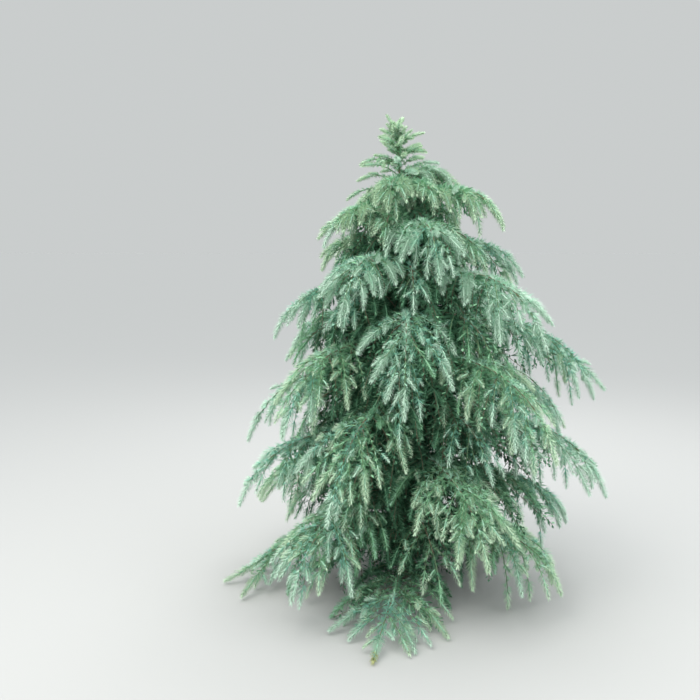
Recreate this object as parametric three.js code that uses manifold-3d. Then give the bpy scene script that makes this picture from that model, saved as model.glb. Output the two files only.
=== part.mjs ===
// A young weeping cedar, rooted in the ground: one whole trunk, bare lower limbs, and masses of drooping
// shoots clothed in needles. Millimetres, +Z up. The origin is the middle of the flat cut under the trunk.
// Every limb and shoot is a line that leaves at one slope and bends down to another, and all of them are
// placed by one rule: boughs climb the trunk by the golden angle, shoots leave a stem left and right.

import * as THREE from "three";
import { mergeVertices } from "three/addons/utils/BufferGeometryUtils.js";
import Module from "manifold-3d";

const wasm = await Module();
wasm.setup();

// ---- Driving dimensions ----
// Slopes, turns and headings are in degrees: slopes up from the level, headings from +X towards +Y.
// A pair of numbers runs from the trunk's foot to its top, or from a stem's root to its tip.

const TREE_HEIGHT = 2200;
const SEED = 11;

const CROWN_RADIUS = 800; // over the tips of its shoots, where it is widest
const CROWN_SLOPE = 0.68; // the cone's radius over its depth below the tree's top
const CROWN_WIDEST = 700; // the height below which the crown narrows again
const SKIRT_SHARE = 0.88; // the crown's radius at the ground, of its widest
const SUNNY_SIDE = [0.03, 0.2]; // how much further the boughs reach towards +X than to the middle, low and high up
const SUNNY_SPAN = [500, 1200]; // the heights between which that grows
const TIP_DROOP = 110; // how far a bough's tip hangs below its root

const TRUNK_HEIGHT = 0.88 * TREE_HEIGHT;
const TRUNK_RADIUS = 27;
const TRUNK_TIP_RADIUS = 5;
const TRUNK_TAPER = 0.9; // under 1, the trunk thins sooner
const TRUNK_SIDES = 10;
const TRUNK_STEPS = 16;
const TRUNK_STEPS_LOW = 1.5; // over 1, its steps stand closer near the ground
const TRUNK_LEAN = -35; // how far the trunk's tip stands from its foot, along X
const TRUNK_SWAY = 9; // the trunk's slow bends to either side
const FLARE_RADIUS = 16; // what the root flare adds at the ground
const FLARE_HEIGHT = 70; // over which the flare fades
const FLARE_ROOTS = 5;
const FLARE_ROOT_SHARE = 0.16; // how far the roots' backs stand out, of the radius

const BOUGHS = 36;
const LOWEST_BOUGH = 0.065 * TREE_HEIGHT;
const HIGHEST_BOUGH = 0.98 * TRUNK_HEIGHT;
const BOUGHS_UPWARD = 0.92; // under 1, the boughs stand closer near the top
const FIRST_HEADING = -92;
const GOLDEN_ANGLE = 137.508;
const BOUGH_REACH = 0.85; // how much of the crown's radius a bough's stem spans, without its last shoot
const BOUGH_LENGTH = 1.11; // a bough's length along its bend, over its reach
const BOUGH_RISE = [3, 46]; // its slope at the trunk
const BOUGH_RISE_LOW = 0.55; // under 1, that slope grows mostly in the lower crown
const BOUGH_FALL = -26; // its slope at the tip
const BOUGH_FALL_MIDDLE = -34; // what the middle of the crown adds to that
const BOUGH_LIFT_ASIDE = 16; // how much less of that the boughs to either side get than those to front and back
const BOUGH_BEND = 1.25;
const BOUGH_UNEVEN = { reach: 0.07, swing: 15, rise: 5, fall: 6 };

const LIMBED_BOUGHS = 21; // the lower boughs, whose first stretch is a bare limb
const LIMB_SHARE = 0.22; // that stretch's share of the bough
const LIMB_TO_TRUNK = 0.36; // a bough's radius at its root, of the trunk's
const LIMB_TIP_SHARE = 0.6; // a limb's radius at its tip, of its root's
const COLLAR_SHARE = 0.35; // what the swelling at a limb's root adds to its radius
const COLLAR_FADE = 12;
const LIMB_SIDES = 5;
const LIMB_STEPS = 4;

const STEM_ROOT_SHARE = 0.65; // a stem's radius where its limb ends, of the limb's root
const STEM_TIP_RADIUS = 2;
const STEM_SIDES = 3;
const STEM_STEPS = 4;
const FULL_STEM = 620; // the length of a bough from which its shoots have their full size
const SMALLEST_SHARE = 0.42; // the size of the smallest boughs' shoots, of the full ones'

const SHOOT_SPACING = 84; // between two full shoots along a stem
const CLOSEST_SHARE = 0.6; // how close small shoots stand at most, of that
const FEWEST_SHOOTS = 4;
const FIRST_SHOOT = { limbed: 0.04, whole: 0.2 }; // how far along the stem's foliage it stands
const LAST_SHOOT = 0.88;
const SHOOT_LENGTH = 345;
const SHORTEST_SHARE = 0.62; // a shoot's length at a stem's two ends, of that in its middle
const SHOOT_OPEN = [80, 38]; // the angle between a shoot and its stem
const SHOOT_RISE = 7; // how much steeper than its stem a shoot leaves it
const SHOOT_FALL = -65;
const SHOOT_SWING = -0.1; // how far it turns back towards its stem, of its angle to it
const SHOOT_BEND = 0.9;
const SHOOT_UNEVEN = { open: 8, rise: 7, fall: 17, length: 0.16 };
const SHORTER_TRIES = [1, 0.8, 0.62]; // a shoot with no room for its length is tried at these shares of it
const END_SHOOT = { at: 0.97, fall: -72, share: 0.75, uneven: 0.1 }; // it runs on from the stem's tip

const SPRAY_WIDTH = 118; // over the tips of its needles
const SPRAY_THICKNESS = 30;
const SPRAY_ROOT_RADIUS = 1.7;
const SPRAY_BARE_SHARE = 0.14; // of a shoot, before its needles start
const SPRAY_TEETH = [2, 4]; // on the smallest and on a full shoot
const SPRAY_TAPER = 0.6; // what its width loses towards the tip
const SPRAY_SIZES = { least: 0.4, most: 1.1, power: 0.7 }; // how its width follows its length
const RIDGE_RISE = 0.6; // these three are shares of the thickness
const TOOTH_DROP = 0.4;
const NOTCH_DROP = 0.25;
const NOTCH_REACH = 0.3; // between two teeth, of their reach
const TOOTH_LEAN = { most: 1.2, last: 0.5 }; // how far forward a tooth's tip leans, in teeth

const LEADER_SHOOTS = 9;
const LEADER_RADIUS = { root: TRUNK_TIP_RADIUS, tip: 2 };
const LEADER_BELOW_TOP = 25; // its stem ends that far below the tree's top
const LEADER_SLOPE = [90, 76];
const LEADER_SPAN = [0.04, 0.88]; // where its shoots stand
const LEADER_FIRST_HEADING = 40;
const LEADER_RISE = [34, 56];
const LEADER_FALL = [-48, 40];
const LEADER_LENGTH = [200, 80];
const LEADER_UNEVEN = 0.12;
const LEADER_TIP = { at: 0.72, heading: 180, rise: 74, fall: 58, length: 110 };

const HEART_DROP = 0.35; // how far below its stem the middle of a mass's space lies, of a shoot's length
const HEART_PLACES = 5;
const SPACE_CHECKS = [0.5, 0.8]; // the places on a shoot that have to lie in its mass's space
const SEAT_GAP = 0.3; // between a limb and what carries it
const MASS_GAP = 1.5; // between a shoot and any other mass or limb
const GROUND_GAP = 12; // between the lowest shoots and the soil
const STEM_GROUND_GAP = 60; // between the lowest stems and the soil
const RAISED_BY = 6; // what a line's last slope gains at each try to keep it off the soil
const MOST_RAISED = 30;
const LINE_SAMPLES = 24;
const WELD = 1e-4;
const LIMB_SIMPLIFIED = 0.1; // how far a solid's faces may move when small ones are taken out
const MASS_SIMPLIFIED = 0.05;

const BARK = { color: 0x6b5a4c, roughness: 0.9, metalness: 0 };
const NEEDLES = { color: 0x86b394, roughness: 0.75, metalness: 0 };

const { clamp, degToRad, lerp, smoothstep } = THREE.MathUtils;

// ---- The rule's small tools ----

// What a chance is drawn for. Each use has a number of its own, so that no two of them move together.
const FOR = {
  reach: 1,
  swing: 2,
  rise: 3,
  fall: 4,
  open: 5,
  shootRise: 6,
  shootFall: 7,
  length: 8,
  end: 9,
  leader: 10,
};

// A number from 0 to 1 that depends on its three keys alone, so every shoot keeps its own.
function chance(bough, shoot, use) {
  const mixed = Math.sin(bough * 12.9898 + shoot * 78.233 + use * 37.719 + SEED) * 43758.5453;
  return mixed - Math.floor(mixed);
}

// A number from -most to most, by chance.
function uneven(most, ...keys) {
  return most * (2 * chance(...keys) - 1);
}

function between([from, to], share) {
  return lerp(from, to, share);
}

// A line that leaves `from` along a compass heading, at the slope `rise`, and bends down to the slope `fall`.
// `swing` turns its heading on the way, and a `bend` over 1 keeps the bending for its tip.
class DroopingLine extends THREE.Curve {
  constructor({ from, heading, swing = 0, rise, fall, bend = 1, length }) {
    super();
    Object.assign(this, { heading, swing, rise, fall, bend, length });
    this.points = [from.clone()];
    for (let n = 0; n < LINE_SAMPLES; n++) {
      const step = this.directionAt((n + 0.5) / LINE_SAMPLES).multiplyScalar(length / LINE_SAMPLES);
      this.points.push(this.points[n].clone().add(step));
    }
  }

  headingAt(u) {
    return this.heading + this.swing * u;
  }

  slopeAt(u) {
    return this.rise + (this.fall - this.rise) * u ** this.bend;
  }

  directionAt(u) {
    const heading = degToRad(this.headingAt(u));
    const slope = degToRad(this.slopeAt(u));
    return new THREE.Vector3(
      Math.cos(slope) * Math.cos(heading),
      Math.cos(slope) * Math.sin(heading),
      Math.sin(slope),
    );
  }

  // The level direction to the line's right.
  sideAt(u) {
    const heading = degToRad(this.headingAt(u));
    return new THREE.Vector3(Math.sin(heading), -Math.cos(heading), 0);
  }

  // The direction across the line and its side, on its upper side.
  upAt(u) {
    return this.sideAt(u).cross(this.directionAt(u));
  }

  getPoint(u) {
    const along = clamp(u, 0, 1) * LINE_SAMPLES;
    const n = Math.min(Math.floor(along), LINE_SAMPLES - 1);
    return this.points[n].clone().lerp(this.points[n + 1], along - n);
  }

  lowest() {
    return Math.min(...this.points.map((point) => point.z));
  }
}

// A line that would come nearer to the soil than `gap` bends down less, and lies out along it.
function layOut(gap, wanted) {
  let line = new DroopingLine(wanted);
  while (line.lowest() < gap && line.fall < MOST_RAISED) {
    line = new DroopingLine({ ...wanted, fall: line.fall + RAISED_BY });
  }
  return line;
}

// A closed mesh as a solid.
function solidOf(geometry) {
  geometry.deleteAttribute("normal");
  geometry.deleteAttribute("uv");
  const merged = mergeVertices(geometry, WELD);
  const mesh = { numProp: 3, vertProperties: merged.attributes.position.array, triVerts: merged.index.array };
  return new wasm.Manifold(new wasm.Mesh(mesh));
}

function geometryOf(solid) {
  const { numProp, vertProperties, triVerts } = solid.getMesh();
  if (numProp !== 3) throw new Error("a solid holds more than positions");
  return new THREE.BufferGeometry()
    .setAttribute("position", new THREE.BufferAttribute(vertProperties, 3))
    .setIndex(new THREE.BufferAttribute(triVerts, 1));
}

// A round bar along a line, from one share of it to another: a cylinder whose vertices are moved onto the line.
function bar(line, { start = 0, end = 1, radiusAt, sides, steps }) {
  const geometry = new THREE.CylinderGeometry(1, 1, 1, sides, steps);
  const position = geometry.attributes.position;
  for (let n = 0; n < position.count; n++) {
    const share = position.getY(n) + 0.5;
    const u = lerp(start, end, share);
    const point = line
      .getPoint(u)
      .addScaledVector(line.sideAt(u), position.getX(n) * radiusAt(share))
      .addScaledVector(line.upAt(u), position.getZ(n) * radiusAt(share));
    position.setXYZ(n, point.x, point.y, point.z);
  }
  return solidOf(geometry);
}

// ---- Trunk ----

function trunkCentre(height) {
  const share = height / TRUNK_HEIGHT;
  return new THREE.Vector3(
    TRUNK_LEAN * share ** 2 + TRUNK_SWAY * Math.sin(2 * Math.PI * share),
    TRUNK_SWAY * Math.sin(3 * Math.PI * share),
    height,
  );
}

function trunkRadius(height) {
  const taper = lerp(TRUNK_RADIUS, TRUNK_TIP_RADIUS, (height / TRUNK_HEIGHT) ** TRUNK_TAPER);
  return taper + FLARE_RADIUS * Math.exp(-height / FLARE_HEIGHT);
}

// The trunk with `extra` round it: with none it is the trunk itself, and otherwise it cuts the limbs' seats.
function trunkSolid(extra) {
  const geometry = new THREE.CylinderGeometry(1, 1, 1, TRUNK_SIDES, TRUNK_STEPS);
  const position = geometry.attributes.position;
  for (let n = 0; n < position.count; n++) {
    const height = TRUNK_HEIGHT * (position.getY(n) + 0.5) ** TRUNK_STEPS_LOW;
    const around = Math.atan2(position.getZ(n), position.getX(n));
    const backs = FLARE_ROOT_SHARE * Math.cos(FLARE_ROOTS * around) * Math.exp(-height / FLARE_HEIGHT);
    const radius = trunkRadius(height) * (1 + backs) + extra;
    const centre = trunkCentre(height);
    position.setXYZ(n, centre.x + position.getX(n) * radius, centre.y - position.getZ(n) * radius, height);
  }
  return solidOf(geometry);
}

// ---- Boughs ----

// The crown's radius at the tips of a bough that leaves the trunk at this height: a cone with a narrower skirt.
function crownRadius(height) {
  const cone = CROWN_SLOPE * (TREE_HEIGHT + TIP_DROOP - height);
  const skirt = lerp(SKIRT_SHARE, 1, clamp(height / CROWN_WIDEST, 0, 1));
  return Math.min(cone, CROWN_RADIUS * skirt);
}

// The line of one bough, from inside the trunk to the end of its foliage's stem.
function boughLine(bough) {
  const climb = bough / (BOUGHS - 1);
  const height = lerp(LOWEST_BOUGH, HIGHEST_BOUGH, climb ** BOUGHS_UPWARD);
  const heading = FIRST_HEADING + bough * GOLDEN_ANGLE;
  const aside = Math.cos(degToRad(heading));
  const sunny = 1 + between(SUNNY_SIDE, smoothstep(height, ...SUNNY_SPAN)) * aside;
  const reach = 1 + uneven(BOUGH_UNEVEN.reach, bough, 0, FOR.reach);
  const middle = Math.sin(Math.PI * clamp(climb, 0.05, 0.75));
  return layOut(STEM_GROUND_GAP, {
    from: trunkCentre(height),
    heading,
    swing: uneven(BOUGH_UNEVEN.swing, bough, 0, FOR.swing),
    rise: between(BOUGH_RISE, climb ** BOUGH_RISE_LOW) + uneven(BOUGH_UNEVEN.rise, bough, 0, FOR.rise),
    fall:
      BOUGH_FALL +
      (BOUGH_FALL_MIDDLE + BOUGH_LIFT_ASIDE * Math.abs(aside)) * middle +
      uneven(BOUGH_UNEVEN.fall, bough, 0, FOR.fall),
    bend: BOUGH_BEND,
    length: BOUGH_LENGTH * BOUGH_REACH * crownRadius(height) * sunny * reach,
  });
}

function boughRadius(line) {
  return LIMB_TO_TRUNK * trunkRadius(line.points[0].z);
}

function limbSolid(line) {
  const collar = (share) => COLLAR_SHARE * Math.exp(-COLLAR_FADE * share);
  return bar(line, {
    end: LIMB_SHARE,
    radiusAt: (share) => boughRadius(line) * (lerp(1, LIMB_TIP_SHARE, share) + collar(share)),
    sides: LIMB_SIDES,
    steps: LIMB_STEPS,
  });
}

// ---- Foliage ----

// A spray of needles round the shoot that it clothes: a toothed blade with a ridge along its upper side.
// Its teeth lean forward, as needles do, and it ends in one point.
function spray(line, { width, thickness, teeth }) {
  const corners = [];
  const addAt = (u, sideways, upwards) => {
    const side = line.sideAt(u).multiplyScalar(sideways);
    corners.push(line.getPoint(u).add(side).addScaledVector(line.upAt(u), upwards));
    return corners.length - 1;
  };
  const along = (tooth) => lerp(SPRAY_BARE_SHARE, 1, tooth / teeth);
  const root = SPRAY_ROOT_RADIUS;
  const ridge = [addAt(0, 0, root)];
  const edges = [1, -1].map((side) => [addAt(0, side * root, -root)]);
  for (let tooth = 0; tooth < teeth; tooth++) {
    const reach = 0.5 * width * (1 - SPRAY_TAPER * ((tooth + 0.5) / teeth) ** 2);
    const lean = tooth + 1 < teeth ? TOOTH_LEAN.most : TOOTH_LEAN.last;
    if (tooth > 0) ridge.push(addAt(along(tooth), 0, RIDGE_RISE * thickness));
    [1, -1].forEach((side, n) => {
      if (tooth > 0) edges[n].push(addAt(along(tooth), side * NOTCH_REACH * reach, -NOTCH_DROP * thickness));
      edges[n].push(addAt(along(tooth + lean), side * reach, -TOOTH_DROP * thickness));
    });
  }
  const tip = addAt(1, 0, 0);
  [ridge, ...edges].forEach((corner) => corner.push(tip));

  const [right, left] = edges;
  const faces = [ridge[0], left[0], right[0]];
  for (let tooth = 0; tooth < teeth; tooth++) {
    const [notch, out, next] = [2 * tooth, 2 * tooth + 1, 2 * tooth + 2];
    faces.push(ridge[tooth], right[notch], right[out]);
    faces.push(ridge[tooth], right[out], ridge[tooth + 1]);
    faces.push(ridge[tooth], left[out], left[notch]);
    faces.push(ridge[tooth], ridge[tooth + 1], left[out]);
    faces.push(left[notch], right[out], right[notch]);
    faces.push(left[notch], left[out], right[out]);
    if (tooth + 1 === teeth) {
      faces.push(left[out], tip, right[out]);
    } else {
      faces.push(ridge[tooth + 1], right[out], right[next]);
      faces.push(ridge[tooth + 1], left[next], left[out]);
      faces.push(left[out], right[next], right[out]);
      faces.push(left[out], left[next], right[next]);
    }
  }
  return solidOf(new THREE.BufferGeometry().setFromPoints(corners).setIndex(faces));
}

function sprayOn(line) {
  const size = clamp(line.length / SHOOT_LENGTH, SPRAY_SIZES.least, SPRAY_SIZES.most);
  const share = size ** SPRAY_SIZES.power;
  const teeth = Math.round(between(SPRAY_TEETH, size));
  return spray(line, { width: SPRAY_WIDTH * share, thickness: SPRAY_THICKNESS * share, teeth });
}

// The size of the shoots on a stem, of the full ones'.
function sizeOn(stem) {
  return clamp(stem.line.length / FULL_STEM, SMALLEST_SHARE, 1);
}

// A place on a stem's bar, at the share `t` of it: the bar is straight between its steps.
function placeOnStem(stem, t) {
  const step = Math.min(Math.floor(t * STEM_STEPS), STEM_STEPS - 1);
  const [before, after] = [step, step + 1].map((n) => stem.line.getPoint(lerp(stem.start, 1, n / STEM_STEPS)));
  return before.lerp(after, t * STEM_STEPS - step);
}

// One drooping shoot that leaves a stem at the share `t` of its foliage.
function sideShoot(stem, bough, number, t) {
  const u = lerp(stem.start, 1, t);
  const left = number % 2 ? 1 : -1;
  const open = left * between(SHOOT_OPEN, t) + uneven(SHOOT_UNEVEN.open, bough, number, FOR.open);
  const fullness = lerp(SHORTEST_SHARE, 1, Math.sin(Math.PI * lerp(0.18, 0.9, t)));
  const length = SHOOT_LENGTH * sizeOn(stem) * fullness;
  return {
    from: placeOnStem(stem, t),
    heading: stem.line.headingAt(u) + open,
    swing: SHOOT_SWING * open,
    rise: stem.line.slopeAt(u) + SHOOT_RISE + uneven(SHOOT_UNEVEN.rise, bough, number, FOR.shootRise),
    fall: SHOOT_FALL + uneven(SHOOT_UNEVEN.fall, bough, number, FOR.shootFall),
    bend: SHOOT_BEND,
    length: length * (1 + uneven(SHOOT_UNEVEN.length, bough, number, FOR.length)),
  };
}

function endShoot(stem, bough) {
  const length = END_SHOOT.share * SHOOT_LENGTH * sizeOn(stem);
  return {
    from: placeOnStem(stem, END_SHOOT.at),
    heading: stem.line.headingAt(1),
    rise: stem.line.slopeAt(1),
    fall: END_SHOOT.fall,
    length: length * (1 + uneven(END_SHOOT.uneven, bough, 0, FOR.end)),
  };
}

function shootsOf(stem, bough) {
  const foliage = (1 - stem.start) * stem.line.length;
  const spacing = SHOOT_SPACING * Math.max(sizeOn(stem), CLOSEST_SHARE);
  const count = Math.max(FEWEST_SHOOTS, Math.round(foliage / spacing));
  const first = stem.limbed ? FIRST_SHOOT.limbed : FIRST_SHOOT.whole;
  const places = Array.from({ length: count }, (_, n) => lerp(first, LAST_SHOOT, n / (count - 1)));
  return [endShoot(stem, bough), ...places.map((t, n) => sideShoot(stem, bough, n, t))];
}

// The leader's shoots stand round it. The upper ones rise, because they are this year's.
function leaderShoots(line) {
  const around = Array.from({ length: LEADER_SHOOTS }, (_, n) => {
    const climb = (n + 0.6) / LEADER_SHOOTS;
    return new DroopingLine({
      from: line.getPoint(between(LEADER_SPAN, climb)),
      heading: LEADER_FIRST_HEADING + n * GOLDEN_ANGLE,
      rise: between(LEADER_RISE, climb),
      fall: between(LEADER_FALL, climb),
      length: between(LEADER_LENGTH, climb) * (1 + uneven(LEADER_UNEVEN, BOUGHS, n, FOR.leader)),
    });
  });
  return [new DroopingLine({ ...LEADER_TIP, from: line.getPoint(LEADER_TIP.at) }), ...around];
}

// ---- The whole tree ----

const trunk = trunkSolid(0);
const seat = trunkSolid(SEAT_GAP);

const stems = Array.from({ length: BOUGHS }, (_, bough) => {
  const line = boughLine(bough);
  const limbed = bough < LIMBED_BOUGHS;
  const start = limbed ? LIMB_SHARE + SEAT_GAP / line.length : 0;
  return { line, limbed, start, name: String(bough + 1).padStart(2, "0") };
});

const limbs = stems
  .filter((stem) => stem.limbed)
  .map((stem) => limbSolid(stem.line).subtract(seat).simplify(LIMB_SIMPLIFIED));

// The middle of the space that each stem's foliage hangs in, at a few places along it.
const hearts = stems.map((stem) =>
  Array.from({ length: HEART_PLACES }, (_, n) => {
    const point = stem.line.getPoint(lerp(stem.start, 1, n / (HEART_PLACES - 1)));
    point.z -= HEART_DROP * SHOOT_LENGTH * sizeOn(stem);
    return point;
  }),
);

function ownerOf(point) {
  const distances = hearts.map((heart) => Math.min(...heart.map((place) => place.distanceTo(point))));
  return distances.indexOf(Math.min(...distances));
}

function keepsToSpace(line, bough) {
  return SPACE_CHECKS.every((u) => ownerOf(line.getPoint(u)) === bough);
}

function isClear(solid, others) {
  return others.every((other) => solid.minGap(other, MASS_GAP) >= MASS_GAP);
}

function meets(solid, siblings) {
  return siblings.some((sibling) => !sibling.intersect(solid).isEmpty());
}

function stemSolid(stem) {
  const root = boughRadius(stem.line) * (stem.limbed ? STEM_ROOT_SHARE : 1);
  const radiusAt = (share) => lerp(root, STEM_TIP_RADIUS, share);
  const solid = bar(stem.line, { start: stem.start, radiusAt, sides: STEM_SIDES, steps: STEM_STEPS });
  return stem.limbed ? solid : solid.subtract(seat);
}

// Each mass takes its room in turn. A shoot that would leave the mass's space, or touch a limb, another mass
// or a shoot of its own mass, is left out.
const masses = [];
stems.forEach((stem, bough) => {
  const shoots = [];
  for (const wanted of shootsOf(stem, bough)) {
    const shoot = SHORTER_TRIES.map((share) => layOut(GROUND_GAP, { ...wanted, length: share * wanted.length }))
      .filter((line) => keepsToSpace(line, bough))
      .map(sprayOn)
      .find((solid) => isClear(solid, [trunk, ...limbs, ...masses]) && !meets(solid, shoots));
    if (shoot) shoots.push(shoot);
  }
  masses.push(wasm.Manifold.union([stemSolid(stem), ...shoots]).simplify(MASS_SIMPLIFIED));
});

const leaderLine = new DroopingLine({
  from: trunkCentre(TRUNK_HEIGHT).add(new THREE.Vector3(0, 0, SEAT_GAP)),
  heading: LEADER_TIP.heading,
  rise: LEADER_SLOPE[0],
  fall: LEADER_SLOPE[1],
  length: TREE_HEIGHT - TRUNK_HEIGHT - LEADER_BELOW_TOP,
});
const leaderStem = bar(leaderLine, {
  radiusAt: (share) => lerp(LEADER_RADIUS.root, LEADER_RADIUS.tip, share),
  sides: 4,
  steps: 3,
});
const leaderSprays = leaderShoots(leaderLine)
  .map(sprayOn)
  .filter((shoot) => isClear(shoot, masses));
const leaderMass = wasm.Manifold.union([leaderStem, ...leaderSprays]);

const bark = new THREE.MeshStandardMaterial(BARK);
const needles = new THREE.MeshStandardMaterial(NEEDLES);
const tree = new THREE.Group();

function addNode(name, solid, material) {
  const mesh = new THREE.Mesh(geometryOf(solid), material);
  mesh.name = name;
  tree.add(mesh);
}

addNode("trunk", trunk, bark);
limbs.forEach((limb, n) => addNode(`bough_${stems[n].name}`, limb, bark));
masses.forEach((mass, n) => addNode(`foliage_${stems[n].name}`, mass, needles));
addNode("foliage_leader", leaderMass, needles);

export default tree;
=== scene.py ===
# %% [markdown]
# # A young weeping cedar
# A cedar of a nursery row: a thin trunk that hardly shows, boughs that climb it in a spiral, and shoots that
# hang from each bough like the ribs of an umbrella. Nearly all that the eye meets is needles, just under four
# hundred thousand of them. A particle system could deal them out, but then every needle would be a copy with
# no say in where it stands. Here they are grown instead: boughs carry shoots, shoots carry sprigs, and both
# carry needles, each by one seeded rule, with arrays of numbers in place of loops.

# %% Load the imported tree
import math

import bpy
import numpy as np
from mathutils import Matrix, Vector, noise


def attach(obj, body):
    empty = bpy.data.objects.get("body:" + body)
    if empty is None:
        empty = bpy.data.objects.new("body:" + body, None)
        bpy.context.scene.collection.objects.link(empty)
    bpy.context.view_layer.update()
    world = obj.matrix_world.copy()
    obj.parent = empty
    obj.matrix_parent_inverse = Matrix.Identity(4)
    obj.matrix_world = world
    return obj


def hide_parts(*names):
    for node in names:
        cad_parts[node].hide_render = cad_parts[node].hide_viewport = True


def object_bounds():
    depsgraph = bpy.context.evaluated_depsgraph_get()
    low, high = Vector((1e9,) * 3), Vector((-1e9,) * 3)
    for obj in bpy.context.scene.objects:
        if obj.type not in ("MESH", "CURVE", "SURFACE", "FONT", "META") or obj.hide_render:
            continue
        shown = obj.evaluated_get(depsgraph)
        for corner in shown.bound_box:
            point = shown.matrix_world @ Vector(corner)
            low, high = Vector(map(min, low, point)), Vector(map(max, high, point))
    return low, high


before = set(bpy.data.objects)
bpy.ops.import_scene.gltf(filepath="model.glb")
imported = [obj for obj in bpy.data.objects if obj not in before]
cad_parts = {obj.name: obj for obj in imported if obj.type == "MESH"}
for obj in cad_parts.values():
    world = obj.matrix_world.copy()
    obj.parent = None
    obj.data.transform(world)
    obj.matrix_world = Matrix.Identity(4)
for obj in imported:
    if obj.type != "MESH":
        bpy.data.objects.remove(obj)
cad_box = [list(corner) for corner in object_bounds()]
print("the tree's box, in metres:", [[round(x, 3) for x in corner] for corner in cad_box])

# %% [markdown]
# ## The camera
# The tree is seen from a standing person's eyes, about four metres away, looking slightly down. The lens is
# longer than a phone's, which keeps the near boughs from looking too large, and the camera is turned a few
# degrees to the left, so that the tree stands right of the middle.

# %% Place the camera
EYE = (0.0, -3.9, 1.6)
LENS = 42.4
LOOKS_DOWN, LOOKS_LEFT = 7.0, 3.9

camera = bpy.data.objects.new("camera", bpy.data.cameras.new("camera"))
camera.data.lens = LENS
camera.location = EYE
camera.rotation_euler = (math.radians(90 - LOOKS_DOWN), 0, math.radians(LOOKS_LEFT))
bpy.context.scene.collection.objects.link(camera)
bpy.context.scene.camera = camera
print("the camera stands", -EYE[1], "m in front of the trunk")

# %% [markdown]
# ## The floor
# The tree stands on one plain pale sheet, so wide that no edge of it shows. Soil would be truer, but it would
# draw the eye off the tree. The floor has no shine, so it takes the tree's soft shadow and nothing else.

# %% Lay the floor
FLOOR_COLOUR = (0.40, 0.40, 0.389)
FLOOR_REACH = 300  # metres to each side


def add_object(name, data):
    thing = bpy.data.objects.new(name, data)
    bpy.context.scene.collection.objects.link(thing)
    return thing


def new_material(name, colour, roughness):
    material = bpy.data.materials.new(name)
    material.use_nodes = True
    shader = material.node_tree.nodes["Principled BSDF"]
    shader.inputs["Base Color"].default_value = (*colour, 1)
    shader.inputs["Roughness"].default_value = roughness
    return material, shader


floor_mesh = bpy.data.meshes.new("floor")
floor_corners = [(x * FLOOR_REACH, y * FLOOR_REACH, 0) for x, y in ((-1, -1), (1, -1), (1, 1), (-1, 1))]
floor_mesh.from_pydata(floor_corners, [], [(0, 1, 2, 3)])
floor_material, floor_shader = new_material("floor", FLOOR_COLOUR, 0.95)
floor_shader.inputs["Specular IOR Level"].default_value = 0
floor_mesh.materials.append(floor_material)
add_object("floor", floor_mesh)
print("one floor,", 2 * FLOOR_REACH, "m across")

# %% [markdown]
# ## The sky
# An overcast sky is even and pale, and brighter overhead than at the horizon. A floor that wide would meet it
# in a hard line, so the sky that the camera sees is another one: it has exactly the brightness that the first
# one's light gives the floor. An image of a real sky would light the tree too, but with edges of its own.

# %% Light the sky
SKY_COLOUR = (0.94, 0.975, 1.0)
HORIZON, ZENITH = 0.40, 2.15  # the sky's strength there

sky = bpy.data.worlds.new("overcast")
sky.use_nodes = True
sky_nodes, sky_links = sky.node_tree.nodes, sky.node_tree.links
height_in_sky = sky_nodes.new("ShaderNodeSeparateXYZ")
sky_links.new(sky_nodes.new("ShaderNodeTexCoord").outputs["Generated"], height_in_sky.inputs["Vector"])
strength = sky_nodes.new("ShaderNodeMapRange")
sky_links.new(height_in_sky.outputs["Z"], strength.inputs["Value"])
strength.inputs["To Min"].default_value, strength.inputs["To Max"].default_value = HORIZON, ZENITH
sky_light = sky_nodes["Background"]
sky_light.inputs["Color"].default_value = (*SKY_COLOUR, 1)
sky_links.new(strength.outputs["Result"], sky_light.inputs["Strength"])
sky_seen = sky_nodes.new("ShaderNodeBackground")
sky_seen.inputs["Color"].default_value = (*(a * b for a, b in zip(SKY_COLOUR, FLOOR_COLOUR)), 1)
sky_seen.inputs["Strength"].default_value = (HORIZON + 2 * ZENITH) / 3  # what level ground gets of it
by_sight = sky_nodes.new("ShaderNodeMixShader")
sky_links.new(sky_nodes.new("ShaderNodeLightPath").outputs["Is Camera Ray"], by_sight.inputs["Fac"])
sky_links.new(sky_light.outputs["Background"], by_sight.inputs[1])
sky_links.new(sky_seen.outputs["Background"], by_sight.inputs[2])
sky_links.new(by_sight.outputs["Shader"], sky_nodes["World Output"].inputs["Surface"])
bpy.context.scene.world = sky
bpy.context.scene.view_settings.view_transform = "Standard"
print("a sky of strength", HORIZON, "at the horizon and", ZENITH, "overhead")

# %% [markdown]
# ## Lamps
# Most of the light comes from above, by one broad lamp on the left. A weaker one on the right opens the
# shadows, and one behind draws the tips off the pale ground. How broad a lamp is matters more than how strong
# it is, because hard light turns thousands of needles into glitter.

# %% Hang the lamps
CROWN_MIDDLE = Vector((0, 0, 1.1))


def hang_lamp(name, place, size, watts, colour=(1, 1, 1)):
    lamp = bpy.data.lights.new(name, "AREA")
    lamp.size, lamp.energy, lamp.color = size, watts, colour
    thing = add_object(name, lamp)
    thing.location = place
    thing.rotation_euler = (CROWN_MIDDLE - Vector(place)).to_track_quat("-Z", "Y").to_euler()


hang_lamp("key", (-1.9, -2.6, 5.1), 3.6, 210, (1.0, 0.985, 0.95))
hang_lamp("fill", (3.2, -2.6, 2.6), 3.0, 50, (0.94, 0.97, 1.0))
hang_lamp("behind", (0.9, 3.2, 4.4), 2.6, 90)

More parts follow.
